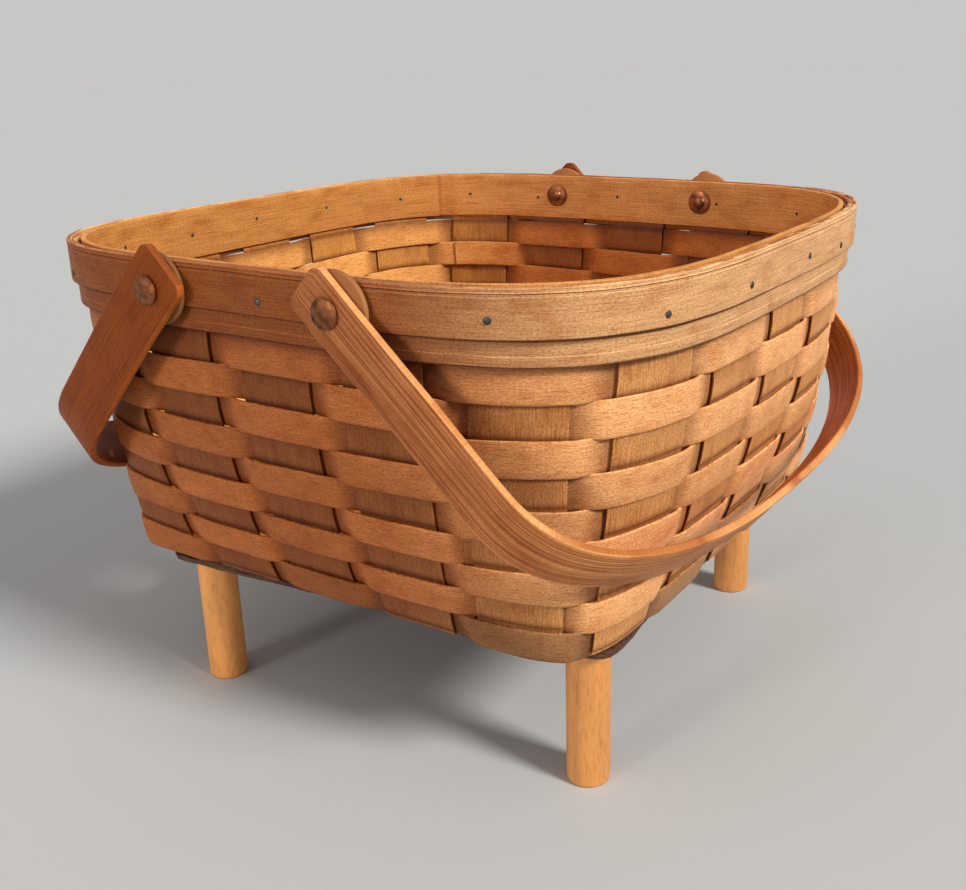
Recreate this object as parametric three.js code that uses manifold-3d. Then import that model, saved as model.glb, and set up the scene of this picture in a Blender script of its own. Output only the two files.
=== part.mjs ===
// Square splint pie basket on four dowel legs, with two riveted swing handles.
// Millimetres, +Z up. The origin lies on the floor under the middle of the rim, and the
// rim's sides lie along X and Y. The handles' pivots are parallel to Y.
import * as THREE from "three";
import { mergeVertices } from "three/addons/utils/BufferGeometryUtils.js";
import Module from "manifold-3d";

const wasm = await Module();
wasm.setup();

// Fits
const gap = 0.3;
const cutOverrun = 2;

// Legs, their screws and the base board
const legLength = 67;
const legDiameter = 19;
const legInset = 16.75;
const standTurn = THREE.MathUtils.degToRad(5.4);
const footChamfer = 1;
const boardInset = 10.25;
const boardThickness = 3.2;
const boardCornerRadius = 3;
const screwLength = 26;
const screwRadius = 1.8;
const screwHeadRadius = 3.8;
const screwHeadDepth = 2.2;
const screwTipLength = 5;

// Woven body
const splintThickness = 1.2;
const stripWidth = 36;
const stripsPerSide = 5;
const rowCount = 9;
const wallHeight = 122;
const wallWidthAtFloor = 256;
const wallSpread = 24.2;
const wallSwell = 1.8;
const floorTurn = THREE.MathUtils.degToRad(0.7);
const floorMiddleX = -1.6;
const floorMiddleY = 2.9;
const foldRadius = 1.65;

// Squareness of the four corners, from the one between the -X and -Y sides towards +X
const floorSquareness = [20, 9.5, 12, 12];
const rimSquareness = [4.45, 3.9, 3.7, 3.9];

// Middles of the five strips of a family, as shares of a side from the side's middle
const frontPlacesAtFloor = [-0.4, -0.2, 0, 0.2, 0.4];
const sidePlacesAtFloor = [-0.402, -0.19, 0.024, 0.232, 0.418];
const placesAtRim = [-0.379, -0.179, 0.021, 0.221, 0.421];

// Rim bands
const rimSpread = 1.6;
const innerBandThickness = 2.2;
const innerBandDepth = 25.2;
const lowerBandThickness = 2;
const lowerBandDepth = 28.3;
const outerBandThickness = 2.2;
const outerBandDepth = 18;
const stripEndBelowRim = 2;
const chordSag = 0.2;

// Handles, spacers, rivets and washers
const pivotShare = 0.3056;
const pivotBelowRim = 11.5;
const handleThickness = 4;
const handleTail = 15;
const handleTailCorner = 3;
const leftHandleWidth = 27;
const leftHandleStandOff = 24.4;
const leftHandleDrop = THREE.MathUtils.degToRad(44.4);
const leftHandleSway = 8;
const leftArmLength = 83;
const leftArchSquareness = 2.5;
const rightHandleWidth = 21.5;
const rightHandleStandOff = 23.4;
const rightHandleDrop = THREE.MathUtils.degToRad(43);
const rightHandleSway = 0;
const rightArmLength = 87;
const rightArchSquareness = 2.4;
const spacerRadius = 15;
const spacerThickness = 2.2;
const rivetRadius = 2.4;
const rivetHeadRadius = 6;
const rivetHeadHeight = 1.8;
const washerRadius = 6.4;
const washerThickness = 1;
const rivetTailRadius = 3.4;
const rivetTailHeight = 1.1;

// Numbers of facets
const arcSamples = 720;
const archSteps = 26;
const roundSteps = 20;
const rivetSteps = 12;
const wallSteps = 9;

// Heights, worked out from the floor up
const boardBottom = legLength + gap;
const boardTop = boardBottom + boardThickness;
const layerOffset = (splintThickness + gap) / 2;
const floorMiddle = boardTop + gap + layerOffset + splintThickness / 2;
const wallBase = floorMiddle + foldRadius;
const wallTop = wallBase + wallHeight;
const rimBottom = wallTop + gap;
const rimTop = rimBottom + lowerBandDepth;
const rowPitch = wallHeight / rowCount;
const weaveOffset = splintThickness + gap;
const pivotHeight = rimTop - pivotBelowRim;

// The wall spreads from the floor's outline up to the rim's
const wallWidthAtRim = wallWidthAtFloor + 2 * wallSpread;
const rimWidth = wallWidthAtRim + 2 * rimSpread;
const pivotSpacing = pivotShare * rimWidth;

// The board lies inside the floor's outline, and the legs' middles inside the board's
const boardSide = wallWidthAtFloor - 2 * boardInset;
const legSpacing = boardSide - 2 * legInset;

// Reach of a folded handle from its pivots, so that it stands off from the leaning wall
function handleReach(standOff, drop) {
  const lean = wallSpread / wallHeight;
  const wallAtPivot = wallWidthAtFloor / 2 + lean * (pivotHeight - wallBase);
  return (wallAtPivot + standOff - pivotSpacing / 2) / (Math.cos(drop) + lean * Math.sin(drop));
}

// Rim stack, as distances outwards from the middle of the upright strips
const stackStart = splintThickness / 2 + gap;
const lowerBandOuter = stackStart + lowerBandThickness;
const outerBandInner = lowerBandOuter + gap;
const outerBandOuter = outerBandInner + outerBandThickness;
const innerBandInner = -stackStart - innerBandThickness;

// Pivot stack, as distances outwards from the basket's middle. The rim bows away from its
// flat fittings, so the spacer seats where the rim stands furthest out under it and the
// washer where it stands furthest in.
function rimMiddleAt(place, squareness) {
  const half = rimWidth / 2;
  return half * (1 - (place / half) ** squareness) ** (1 / squareness);
}

const rimOutermost = rimMiddleAt(pivotSpacing / 2 - spacerRadius, Math.max(...rimSquareness));
const rimInnermost = rimMiddleAt(pivotSpacing / 2 + washerRadius, Math.min(...rimSquareness));
const rimFace = rimOutermost + outerBandOuter;
const rimInnerFace = rimInnermost + innerBandInner - chordSag;
const spacerOuter = rimFace + gap + spacerThickness;
const armInner = spacerOuter + gap;
const armOuter = armInner + handleThickness;

const up = new THREE.Vector3(0, 0, 1);

// Rounded square seen from above, whose corners differ. It starts at the middle of its -Y
// side and runs towards +X. Its places are shares: a quarter leads from the middle of one
// side to the middle of the next.
class SquareLoop extends THREE.Curve {
  constructor(width, squareness, turn, middle) {
    super();
    this.half = width / 2;
    this.squareness = squareness;
    this.turn = turn;
    this.middle = middle;
    this.arcLengthDivisions = arcSamples;
  }

  getPoint(share, target = new THREE.Vector3()) {
    const angle = 2 * Math.PI * share - Math.PI / 2;
    const squareness = this.squareness[Math.floor(4 * share + 1) % 4];
    const cosine = Math.abs(Math.cos(angle)) ** squareness;
    const sine = Math.abs(Math.sin(angle)) ** squareness;
    const reach = this.half * (cosine + sine) ** (-1 / squareness);
    target.set(reach * Math.cos(angle), reach * Math.sin(angle), 0);
    return target.applyAxisAngle(up, this.turn).add(this.middle);
  }

  // Point and outward direction at a place
  place(share) {
    const around = 4 * (share - Math.floor(share));
    const quarter = Math.floor(around);
    const lengths = this.getLengths();
    const start = lengths[quarter * arcSamples / 4];
    const end = lengths[(quarter + 1) * arcSamples / 4];
    const along = THREE.MathUtils.lerp(start, end, around - quarter) / lengths[arcSamples];
    const tangent = this.getTangentAt(along);
    return { point: this.getPointAt(along), outward: new THREE.Vector3(tangent.y, -tangent.x, 0) };
  }

  offsetPoint(share, offset, height) {
    const { point, outward } = this.place(share);
    return point.addScaledVector(outward, offset).setZ(height);
  }
}

const centre = new THREE.Vector3();
const floorCentre = new THREE.Vector3(floorMiddleX, floorMiddleY, 0);
const floorLoop = new SquareLoop(wallWidthAtFloor, floorSquareness, floorTurn, floorCentre);
const wallTopLoop = new SquareLoop(wallWidthAtRim, rimSquareness, 0, centre);
const rimLoop = new SquareLoop(rimWidth, rimSquareness, 0, centre);

// Wall of the body: it swells out from the floor's outline to the outline under the rim
function wallPoint(share, rise, offset) {
  const low = floorLoop.offsetPoint(share, offset, wallBase);
  const high = wallTopLoop.offsetPoint(share, offset, wallTop);
  const spread = 1 - (1 - rise) ** wallSwell;
  return low.lerp(high, spread).setZ(wallBase + wallHeight * rise);
}

function shareOfLength(length, rise) {
  return length / THREE.MathUtils.lerp(floorLoop.getLength(), wallTopLoop.getLength(), rise);
}

// Where a strip's middle lies on its side, as a share of the loop from the side's middle
function stripPlaceShare(index, floorPlaces, rise) {
  return THREE.MathUtils.lerp(floorPlaces[index], placesAtRim[index], rise) / 4;
}

// Closed shell through rings of points. Each ring has a front row and a back row.
function shell(rings, isLoop) {
  const columns = rings[0].front.length;
  const around = 2 * columns;
  const points = rings.flatMap((ring) => [...ring.front, ...ring.back.toReversed()]);
  const index = [];
  const quad = (a, b, c, d) => index.push(a, b, c, a, c, d);
  const lastRing = isLoop ? rings.length : rings.length - 1;
  for (let ring = 0; ring < lastRing; ring += 1) {
    const here = ring * around;
    const next = ((ring + 1) % rings.length) * around;
    for (let k = 0; k < around; k += 1) {
      const after = (k + 1) % around;
      quad(here + k, here + after, next + after, next + k);
    }
  }
  if (!isLoop) {
    const end = (rings.length - 1) * around;
    for (let k = 0; k < columns - 1; k += 1) {
      const opposite = around - 1 - k;
      quad(k, opposite, opposite - 1, k + 1);
      quad(end + k, end + k + 1, end + opposite - 1, end + opposite);
    }
  }
  if (enclosedVolume(points, index) < 0) {
    index.reverse();
  }
  const geometry = new THREE.BufferGeometry().setFromPoints(points);
  geometry.setIndex(index);
  return geometry;
}

function enclosedVolume(points, index) {
  let volume = 0;
  for (let k = 0; k < index.length; k += 3) {
    const [a, b, c] = [points[index[k]], points[index[k + 1]], points[index[k + 2]]];
    volume += a.dot(b.clone().cross(c)) / 6;
  }
  return volume;
}

// Joining and cutting
function toSolid(geometry) {
  const bare = geometry.clone();
  bare.deleteAttribute("normal");
  bare.deleteAttribute("uv");
  const merged = mergeVertices(bare);
  return new wasm.Manifold(new wasm.Mesh({
    numProp: 3,
    vertProperties: new Float32Array(merged.attributes.position.array),
    triVerts: new Uint32Array(merged.index.array),
  }));
}

function cut(geometry, tools) {
  let solid = toSolid(geometry);
  for (const tool of tools) {
    solid = solid.subtract(toSolid(tool));
  }
  const mesh = solid.getMesh();
  const result = new THREE.BufferGeometry();
  result.setAttribute("position", new THREE.BufferAttribute(mesh.vertProperties, 3));
  result.setIndex(new THREE.BufferAttribute(mesh.triVerts, 1));
  return result;
}

// Round solid about Z from pairs of radius and height that start and end on the axis
function turned(profile, steps) {
  const points = profile.map(([radius, height]) => new THREE.Vector2(radius, height));
  const geometry = new THREE.LatheGeometry(points, steps);
  geometry.rotateX(Math.PI / 2);
  return geometry;
}

function disc(radius, low, high, steps) {
  return turned([[0, low], [radius, low], [radius, high], [0, high]], steps);
}

const model = new THREE.Group();

function addPiece(parent, name, geometry, colour, roughness, metalness = 0) {
  geometry.computeVertexNormals();
  const material = new THREE.MeshStandardMaterial({ color: colour, roughness, metalness, flatShading: true });
  const piece = new THREE.Mesh(geometry, material);
  piece.name = name;
  parent.add(piece);
  return piece;
}

// Rivets: one at each pivot, near and far, lying along Y
const pivots = [];
for (const side of [-1, 1]) {
  for (const end of [-1, 1]) {
    pivots.push({ side, end });
  }
}

// A solid about Z, whose heights run outwards from the middle of the basket, at a pivot
function atPivot(geometry, { side, end }) {
  geometry.rotateX(-end * Math.PI / 2);
  geometry.translate(side * pivotSpacing / 2, 0, pivotHeight);
  return geometry;
}

const boreRadius = rivetRadius + gap;
const rivetBores = pivots.map((pivot) => {
  const bore = disc(boreRadius, rimInnerFace - cutOverrun, armOuter + cutOverrun, rivetSteps);
  return atPivot(bore, pivot);
});

// Legs, board and screws, all turned a little under the woven floor
const stand = new THREE.Group();
stand.rotation.z = standTurn;
model.add(stand);

function screwProfile(grow, top) {
  const neck = top - screwHeadDepth - grow;
  const end = top - screwLength - grow;
  return [
    [0, end],
    [(screwRadius + grow) / 2, end],
    [screwRadius + grow, end + screwTipLength],
    [screwRadius + grow, neck],
    [screwHeadRadius + grow, top],
    [screwHeadRadius + grow, top + grow],
    [0, top + grow],
  ];
}

const screwTop = boardTop - gap;
const legPlaces = [
  ["front_left", -1, -1],
  ["front_right", 1, -1],
  ["back_right", 1, 1],
  ["back_left", -1, 1],
];

const boardOutline = new THREE.Shape();
const boardStraight = boardSide / 2 - boardCornerRadius;
boardOutline.absarc(boardStraight, boardStraight, boardCornerRadius, 0, Math.PI / 2);
boardOutline.absarc(-boardStraight, boardStraight, boardCornerRadius, Math.PI / 2, Math.PI);
boardOutline.absarc(-boardStraight, -boardStraight, boardCornerRadius, Math.PI, 1.5 * Math.PI);
boardOutline.absarc(boardStraight, -boardStraight, boardCornerRadius, 1.5 * Math.PI, 2 * Math.PI);
const boardBlank = new THREE.ExtrudeGeometry(boardOutline, {
  depth: boardThickness,
  bevelEnabled: false,
  curveSegments: 3,
});
boardBlank.translate(0, 0, boardBottom);

const screwHoles = legPlaces.map(([, x, y]) => {
  const hole = turned(screwProfile(gap, screwTop), rivetSteps);
  hole.translate(x * legSpacing / 2, y * legSpacing / 2, 0);
  return hole;
});
addPiece(stand, "base_board", cut(boardBlank, screwHoles), 0x6b4327, 0.8);

legPlaces.forEach(([name, x, y], index) => {
  const radius = legDiameter / 2;
  const leg = turned([
    [0, 0],
    [radius - footChamfer, 0],
    [radius, footChamfer],
    [radius, legLength],
    [0, legLength],
  ], roundSteps);
  leg.translate(x * legSpacing / 2, y * legSpacing / 2, 0);
  addPiece(stand, `leg_${name}`, cut(leg, [screwHoles[index]]), 0xd79a58, 0.55);

  const screw = turned(screwProfile(0, screwTop), rivetSteps);
  screw.translate(x * legSpacing / 2, y * legSpacing / 2, 0);
  addPiece(stand, `leg_screw_${name}`, screw, 0x9a948a, 0.4, 0.9);
});

// Upright strips. Each runs down one wall, across the floor and up the opposite wall.
const columnSides = [-1, 0, 1];

function stripRings(index, faceShare, floorPlaces, crossings) {
  const half = splintThickness / 2;
  const rings = [];

  const addRing = (pointAt) => {
    const front = columnSides.map((column) => pointAt(column, half));
    const back = columnSides.map((column) => pointAt(column, -half));
    rings.push({ front, back });
  };

  // The loop's share of a column, on the strip's first wall or on the opposite one
  const columnShare = (column, rise, isOpposite) => {
    const middle = stripPlaceShare(index, floorPlaces, rise);
    const across = middle + column * shareOfLength(stripWidth / 2, rise);
    return isOpposite ? faceShare + 0.5 - across : faceShare + across;
  };

  const addWall = (isOpposite) => {
    const rises = [];
    for (let step = 0; step <= wallSteps; step += 1) {
      rises.push(isOpposite ? step / wallSteps : 1 - step / wallSteps);
    }
    rises.forEach((rise) => {
      addRing((column, offset) => wallPoint(columnShare(column, rise, isOpposite), rise, offset));
    });
  };

  const addRimEnd = (isOpposite) => {
    const heights = [rimTop - stripEndBelowRim, rimTop - innerBandDepth - gap];
    (isOpposite ? heights.toReversed() : heights).forEach((height) => {
      addRing((column, offset) => rimLoop.offsetPoint(columnShare(column, 1, isOpposite), offset, height));
    });
  };

  // The fold turns from the wall to the floor in steps of an eighth of a turn
  const addFold = (isOpposite) => {
    const angles = [Math.PI / 4, Math.PI / 2];
    (isOpposite ? angles.toReversed() : angles).forEach((angle) => {
      addRing((column, offset) => {
        const { point, outward } = floorLoop.place(columnShare(column, 0, isOpposite));
        const radius = foldRadius + offset;
        point.addScaledVector(outward, radius * Math.cos(angle) - foldRadius);
        return point.setZ(wallBase - radius * Math.sin(angle));
      });
    });
  };

  // On the floor the strip goes over one crossing strip and under the next
  const addFloor = () => {
    crossings.forEach((place, crossing) => {
      const isOver = (index + crossing) % 2 === 0;
      const lift = (isOver === (faceShare > 0) ? 1 : -1) * layerOffset;
      for (const edge of [-1, 1]) {
        const along = place + edge * stripWidth / 2;
        addRing((column, offset) => {
          const wall = floorLoop.place(columnShare(column, 0, false)).point;
          const opposite = floorLoop.place(columnShare(column, 0, true)).point;
          const share = (along + wall.distanceTo(opposite) / 2) / wall.distanceTo(opposite);
          return wall.lerp(opposite, share).setZ(floorMiddle + lift - offset);
        });
      }
    });
  };

  addRimEnd(false);
  addWall(false);
  addFold(false);
  addFloor();
  addFold(true);
  addWall(true);
  addRimEnd(true);
  return rings;
}

// Distance of each strip's middle from the middle of the floor, along the side it crosses
function floorPlace(index, floorPlaces) {
  const flat = new SquareLoop(wallWidthAtFloor, floorSquareness, 0, centre);
  return flat.place(stripPlaceShare(index, floorPlaces, 0)).point.x;
}

const stripIndexes = Array.from({ length: stripsPerSide }, (_, index) => index);
const families = [
  { name: "front_to_back_strip", faceShare: 0, floorPlaces: frontPlacesAtFloor, direction: 1 },
  { name: "side_to_side_strip", faceShare: 0.25, floorPlaces: sidePlacesAtFloor, direction: -1 },
];
families.forEach((family) => {
  const crossed = families.find((other) => other !== family);
  const crossings = stripIndexes.map((index) => family.direction * floorPlace(index, crossed.floorPlaces));
  crossings.sort((a, b) => a - b);
  for (const index of stripIndexes) {
    const rings = stripRings(index, family.faceShare, family.floorPlaces, crossings);
    const strip = shell(rings, false);
    addPiece(model, `${family.name}_${index + 1}`, cut(strip, rivetBores), 0xb5793f, 0.65);
  }
});

// Places round the wall: both edges and the middle of each upright, and each corner
const ringPlaces = [];
for (let side = 0; side < 4; side += 1) {
  const { floorPlaces } = families[side % 2];
  const direction = side < 2 ? 1 : -1;
  const indexes = direction > 0 ? stripIndexes : stripIndexes.toReversed();
  indexes.forEach((index, order) => {
    for (const column of columnSides) {
      const shareAt = (rise) => {
        const middle = direction * stripPlaceShare(index, floorPlaces, rise);
        return side / 4 + middle + column * shareOfLength(stripWidth / 2, rise);
      };
      ringPlaces.push({ upright: side * stripsPerSide + order, shareAt });
    }
  });
  ringPlaces.push({ upright: -1, shareAt: () => (side + 1 / 2) / 4 });
}

// Weavers. Each row is a ring that goes outside one upright and inside the next.
function weaverGeometry(row) {
  const rises = [gap / 2, rowPitch - gap / 2].map((height) => {
    return (wallHeight - (row + 1) * rowPitch + height) / wallHeight;
  });
  const half = splintThickness / 2;
  const rings = ringPlaces.map(({ upright, shareAt }) => {
    const direction = (row + upright) % 2 === 0 ? 1 : -1;
    const offset = upright < 0 ? 0 : direction * weaveOffset;
    return {
      front: rises.map((rise) => wallPoint(shareAt(rise), rise, offset + half)),
      back: rises.map((rise) => wallPoint(shareAt(rise), rise, offset - half)),
    };
  });
  return shell(rings, true);
}

for (let row = 0; row < rowCount; row += 1) {
  addPiece(model, `weaver_${row + 1}`, weaverGeometry(row), 0xc0834a, 0.6);
}

// Rim bands: one ring inside the strips' ends and two outside. They turn where the
// strips turn, and the outer band has a further step in between.
const bandShares = ringPlaces.map(({ shareAt }) => shareAt(1));
const fineBandShares = bandShares.flatMap((share, place) => {
  const next = place + 1 < bandShares.length ? bandShares[place + 1] : bandShares[0] + 1;
  return [share, (share + next) / 2];
});

function bandGeometry(shares, inner, outer, low) {
  const heights = [low, rimTop];
  const rings = shares.map((share) => ({
    front: heights.map((height) => rimLoop.offsetPoint(share, outer, height)),
    back: heights.map((height) => rimLoop.offsetPoint(share, inner, height)),
  }));
  return cut(shell(rings, true), rivetBores);
}

const innerBand = bandGeometry(bandShares, innerBandInner, -stackStart, rimTop - innerBandDepth);
addPiece(model, "inner_rim_band", innerBand, 0xc98a4b, 0.6);
const lowerBand = bandGeometry(bandShares, stackStart, lowerBandOuter, rimBottom);
addPiece(model, "lower_rim_band", lowerBand, 0xb97b44, 0.6);
const outerBand = bandGeometry(fineBandShares, outerBandInner, outerBandOuter, rimTop - outerBandDepth);
addPiece(model, "outer_rim_band", outerBand, 0xbb7d46, 0.6);

// Handle: a bent strip with two arms, which lean to one side beyond the spacers by the
// sway. In its own frame X points from the pivots to the top of the arch, Y lies along
// the pivots and Z is across the strip.
function handleGeometry({ width, standOff, drop, sway, armLength, archSquareness }) {
  const middle = armInner + handleThickness / 2;
  const top = handleReach(standOff, drop) - handleThickness / 2;
  const swayStart = spacerRadius + handleThickness;
  const path = [new THREE.Vector3(-handleTail, -middle, 0)];
  path.push(new THREE.Vector3(handleTailCorner - handleTail, -middle, 0));
  path.push(new THREE.Vector3(swayStart, -middle, 0));
  for (let step = 0; step <= archSteps; step += 1) {
    const angle = Math.PI * step / archSteps;
    const along = Math.abs(Math.sin(angle)) ** (2 / archSquareness);
    const across = Math.sign(Math.cos(angle)) * Math.abs(Math.cos(angle)) ** (2 / archSquareness);
    const x = armLength + (top - armLength) * along;
    const lean = sway * (x - swayStart) / (top - swayStart);
    path.push(new THREE.Vector3(x, lean - middle * across, 0));
  }
  path.push(new THREE.Vector3(swayStart, middle, 0));
  path.push(new THREE.Vector3(handleTailCorner - handleTail, middle, 0));
  path.push(new THREE.Vector3(-handleTail, middle, 0));

  const last = path.length - 1;
  const rings = path.map((point, step) => {
    const before = path[Math.max(step - 1, 0)];
    const after = path[Math.min(step + 1, last)];
    const along = after.clone().sub(before).normalize();
    const outward = new THREE.Vector3(along.y, -along.x, 0);
    const isTip = step === 0 || step === last;
    const half = width / 2 - (isTip ? handleTailCorner : 0);
    const row = (offset) => [-half, half].map((height) => {
      return point.clone().addScaledVector(outward, offset).setZ(height);
    });
    return { front: row(handleThickness / 2), back: row(-handleThickness / 2) };
  });
  const bore = disc(boreRadius, -armOuter - cutOverrun, armOuter + cutOverrun, rivetSteps);
  bore.rotateX(Math.PI / 2);
  return cut(shell(rings, false), [bore]);
}

const leftShape = {
  width: leftHandleWidth,
  standOff: leftHandleStandOff,
  drop: leftHandleDrop,
  sway: leftHandleSway,
  armLength: leftArmLength,
  archSquareness: leftArchSquareness,
};
const rightShape = {
  width: rightHandleWidth,
  standOff: rightHandleStandOff,
  drop: rightHandleDrop,
  sway: rightHandleSway,
  armLength: rightArmLength,
  archSquareness: rightArchSquareness,
};
const leftHandle = addPiece(model, "left_handle", handleGeometry(leftShape), 0x8a5029, 0.6);
leftHandle.position.set(-pivotSpacing / 2, 0, pivotHeight);
leftHandle.rotation.y = Math.PI - leftHandleDrop;
const rightHandle = addPiece(model, "right_handle", handleGeometry(rightShape), 0x93602f, 0.6);
rightHandle.position.set(pivotSpacing / 2, 0, pivotHeight);
rightHandle.rotation.y = rightHandleDrop;

// Spacers, rivets and washers at the pivots
const headBase = armOuter + gap;
const washerInner = rimInnerFace - gap - washerThickness;
const tailBase = washerInner - gap;
pivots.forEach((pivot) => {
  const name = `${pivot.side < 0 ? "left" : "right"}_${pivot.end < 0 ? "front" : "back"}`;
  const borePlug = disc(boreRadius, rimInnerFace - cutOverrun, armOuter + cutOverrun, rivetSteps);
  const spacer = disc(spacerRadius, rimFace + gap, spacerOuter, roundSteps);
  addPiece(model, `spacer_${name}`, atPivot(cut(spacer, [borePlug]), pivot), 0xc48a50, 0.6);

  const washer = disc(washerRadius, washerInner, rimInnerFace - gap, rivetSteps);
  const washerPlug = disc(boreRadius, washerInner - cutOverrun, rimInnerFace + cutOverrun, rivetSteps);
  addPiece(model, `washer_${name}`, atPivot(cut(washer, [washerPlug]), pivot), 0x7c4a34, 0.35, 0.9);

  const rivet = turned([
    [0, tailBase - rivetTailHeight],
    [rivetTailRadius / 2, tailBase - rivetTailHeight],
    [rivetTailRadius, tailBase],
    [rivetRadius, tailBase],
    [rivetRadius, headBase],
    [rivetHeadRadius, headBase],
    [rivetHeadRadius * Math.cos(Math.PI / 6), headBase + rivetHeadHeight * Math.sin(Math.PI / 6)],
    [rivetHeadRadius / 2, headBase + rivetHeadHeight],
    [0, headBase + rivetHeadHeight],
  ], rivetSteps);
  addPiece(model, `rivet_${name}`, atPivot(rivet, pivot), 0x8b5a34, 0.35, 0.9);
});

export default model;
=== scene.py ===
"""Square splint pie basket with two folded bentwood handles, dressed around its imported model.

Everything is in metres in the model's own frame. The rim's sides lie along X and Y, and the
handles' pivots are parallel to Y.
"""

import math

import bpy
import numpy as np
from mathutils import Matrix


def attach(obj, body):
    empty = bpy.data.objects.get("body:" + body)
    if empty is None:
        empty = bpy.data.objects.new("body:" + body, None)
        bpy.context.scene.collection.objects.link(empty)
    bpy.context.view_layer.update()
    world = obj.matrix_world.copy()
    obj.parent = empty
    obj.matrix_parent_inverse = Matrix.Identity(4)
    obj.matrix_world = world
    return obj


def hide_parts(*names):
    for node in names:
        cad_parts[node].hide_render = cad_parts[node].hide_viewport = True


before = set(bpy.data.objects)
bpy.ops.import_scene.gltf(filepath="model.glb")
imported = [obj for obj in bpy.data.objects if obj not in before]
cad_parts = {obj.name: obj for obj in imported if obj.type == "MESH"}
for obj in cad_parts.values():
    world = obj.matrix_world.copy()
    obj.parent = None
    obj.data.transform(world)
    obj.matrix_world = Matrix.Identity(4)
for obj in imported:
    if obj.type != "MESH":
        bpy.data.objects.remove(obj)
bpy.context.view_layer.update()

mm = 0.001
tau = 2 * math.pi

# Sizes that the model's source gives
leg_spacing = 202 * mm
board_side = 235.5 * mm
board_thickness = 3.2 * mm
board_bottom = 67.3 * mm
floor_width = 256 * mm
floor_middle = 72.15 * mm
floor_lift = 0.75 * mm
fold_radius = 1.65 * mm
wall_base = 73.8 * mm
wall_height = 122 * mm
rim_top = 224.4 * mm
rim_bottom = 196.1 * mm
splint_thickness = 1.2 * mm
strip_width = 36 * mm
strips_per_side = 5
row_count = 9
row_pitch = wall_height / row_count
wall_swell = 1.8
stand_turn = math.radians(5.4)
floor_squareness = (20, 9.5, 12, 12)
rim_squareness = (4.45, 3.9, 3.7, 3.9)
places_at_floor = np.array([[-0.4, -0.2, 0, 0.2, 0.4], [-0.402, -0.19, 0.024, 0.232, 0.418]])
places_at_rim = np.array([-0.379, -0.179, 0.021, 0.221, 0.421])
pivot_spacing = 94 * mm
pivot_height = 212.9 * mm
handle_thickness = 4 * mm
handle_tail = 15 * mm
tail_corner = 3 * mm
spacer_radius = 15 * mm
arm_inner = 161.97 * mm

square_corners = ((-1, -1), (1, -1), (1, 1), (-1, 1))
up = np.array([0.0, 0.0, 1.0])
# A fixed seed gives the same basket each run
draw = np.random.default_rng(7)


# Small tools

def node(tree, kind, inputs=None, **settings):
    """Adds one node with its settings, and its inputs as links or values. Gives its outputs."""
    made = tree.nodes.new(kind)
    for key, value in settings.items():
        setattr(made, key, value)
    for key, value in (inputs or {}).items():
        if isinstance(value, bpy.types.NodeSocket):
            tree.links.new(value, made.inputs[key])
        else:
            made.inputs[key].default_value = value
    return made.outputs


def linear(hex_colour):
    """Linear colour of an sRGB hex value."""
    shares = [int(hex_colour[i : i + 2], 16) / 255 for i in (1, 3, 5)]
    return *(c / 12.92 if c <= 0.04045 else ((c + 0.055) / 1.055) ** 2.4 for c in shares), 1.0


def new_object(name, data):
    made = bpy.data.objects.new(name, data)
    bpy.context.scene.collection.objects.link(made)
    return made


def attribute(mesh, name, values, kind="FLOAT"):
    """Writes one value, or one vector, for each vertex."""
    made = mesh.attributes.new(name, kind, "POINT")
    field = "vector" if kind == "FLOAT_VECTOR" else "value"
    made.data.foreach_set(field, np.asarray(values, np.float32).ravel())


def read_vertices(mesh, field):
    """The place or the normal of each vertex, as rows of three."""
    values = np.zeros(3 * len(mesh.vertices))
    mesh.vertices.foreach_get(field, values)
    return values.reshape(-1, 3)


def bridge(ring, next_ring):
    """Faces between two closed rings of vertex numbers."""
    pairs = [(j, (j + 1) % len(ring)) for j in range(len(ring))]
    return [(ring[j], ring[k], next_ring[k], next_ring[j]) for j, k in pairs]


def unit_rows(vectors):
    return vectors / np.linalg.norm(vectors, axis=-1)[..., None]


def settle(piece):
    """Turns what a piece's modifiers make into its own plain mesh, smooth over its curves."""
    graph = bpy.context.evaluated_depsgraph_get()
    mesh = bpy.data.meshes.new_from_object(piece.evaluated_get(graph), depsgraph=graph)
    mesh.name = piece.name
    piece.modifiers.clear()
    piece.data = mesh
    mesh.shade_smooth()
    mesh.set_sharp_from_angle(angle=math.radians(40))


def hand_over(piece, body, slot, *nodes):
    """Gives a piece its body and the nodes that it stands for. Its slot is not used."""
    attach(piece, body)
    if nodes:
        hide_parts(*nodes)


# Outlines and the wall between them

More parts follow.
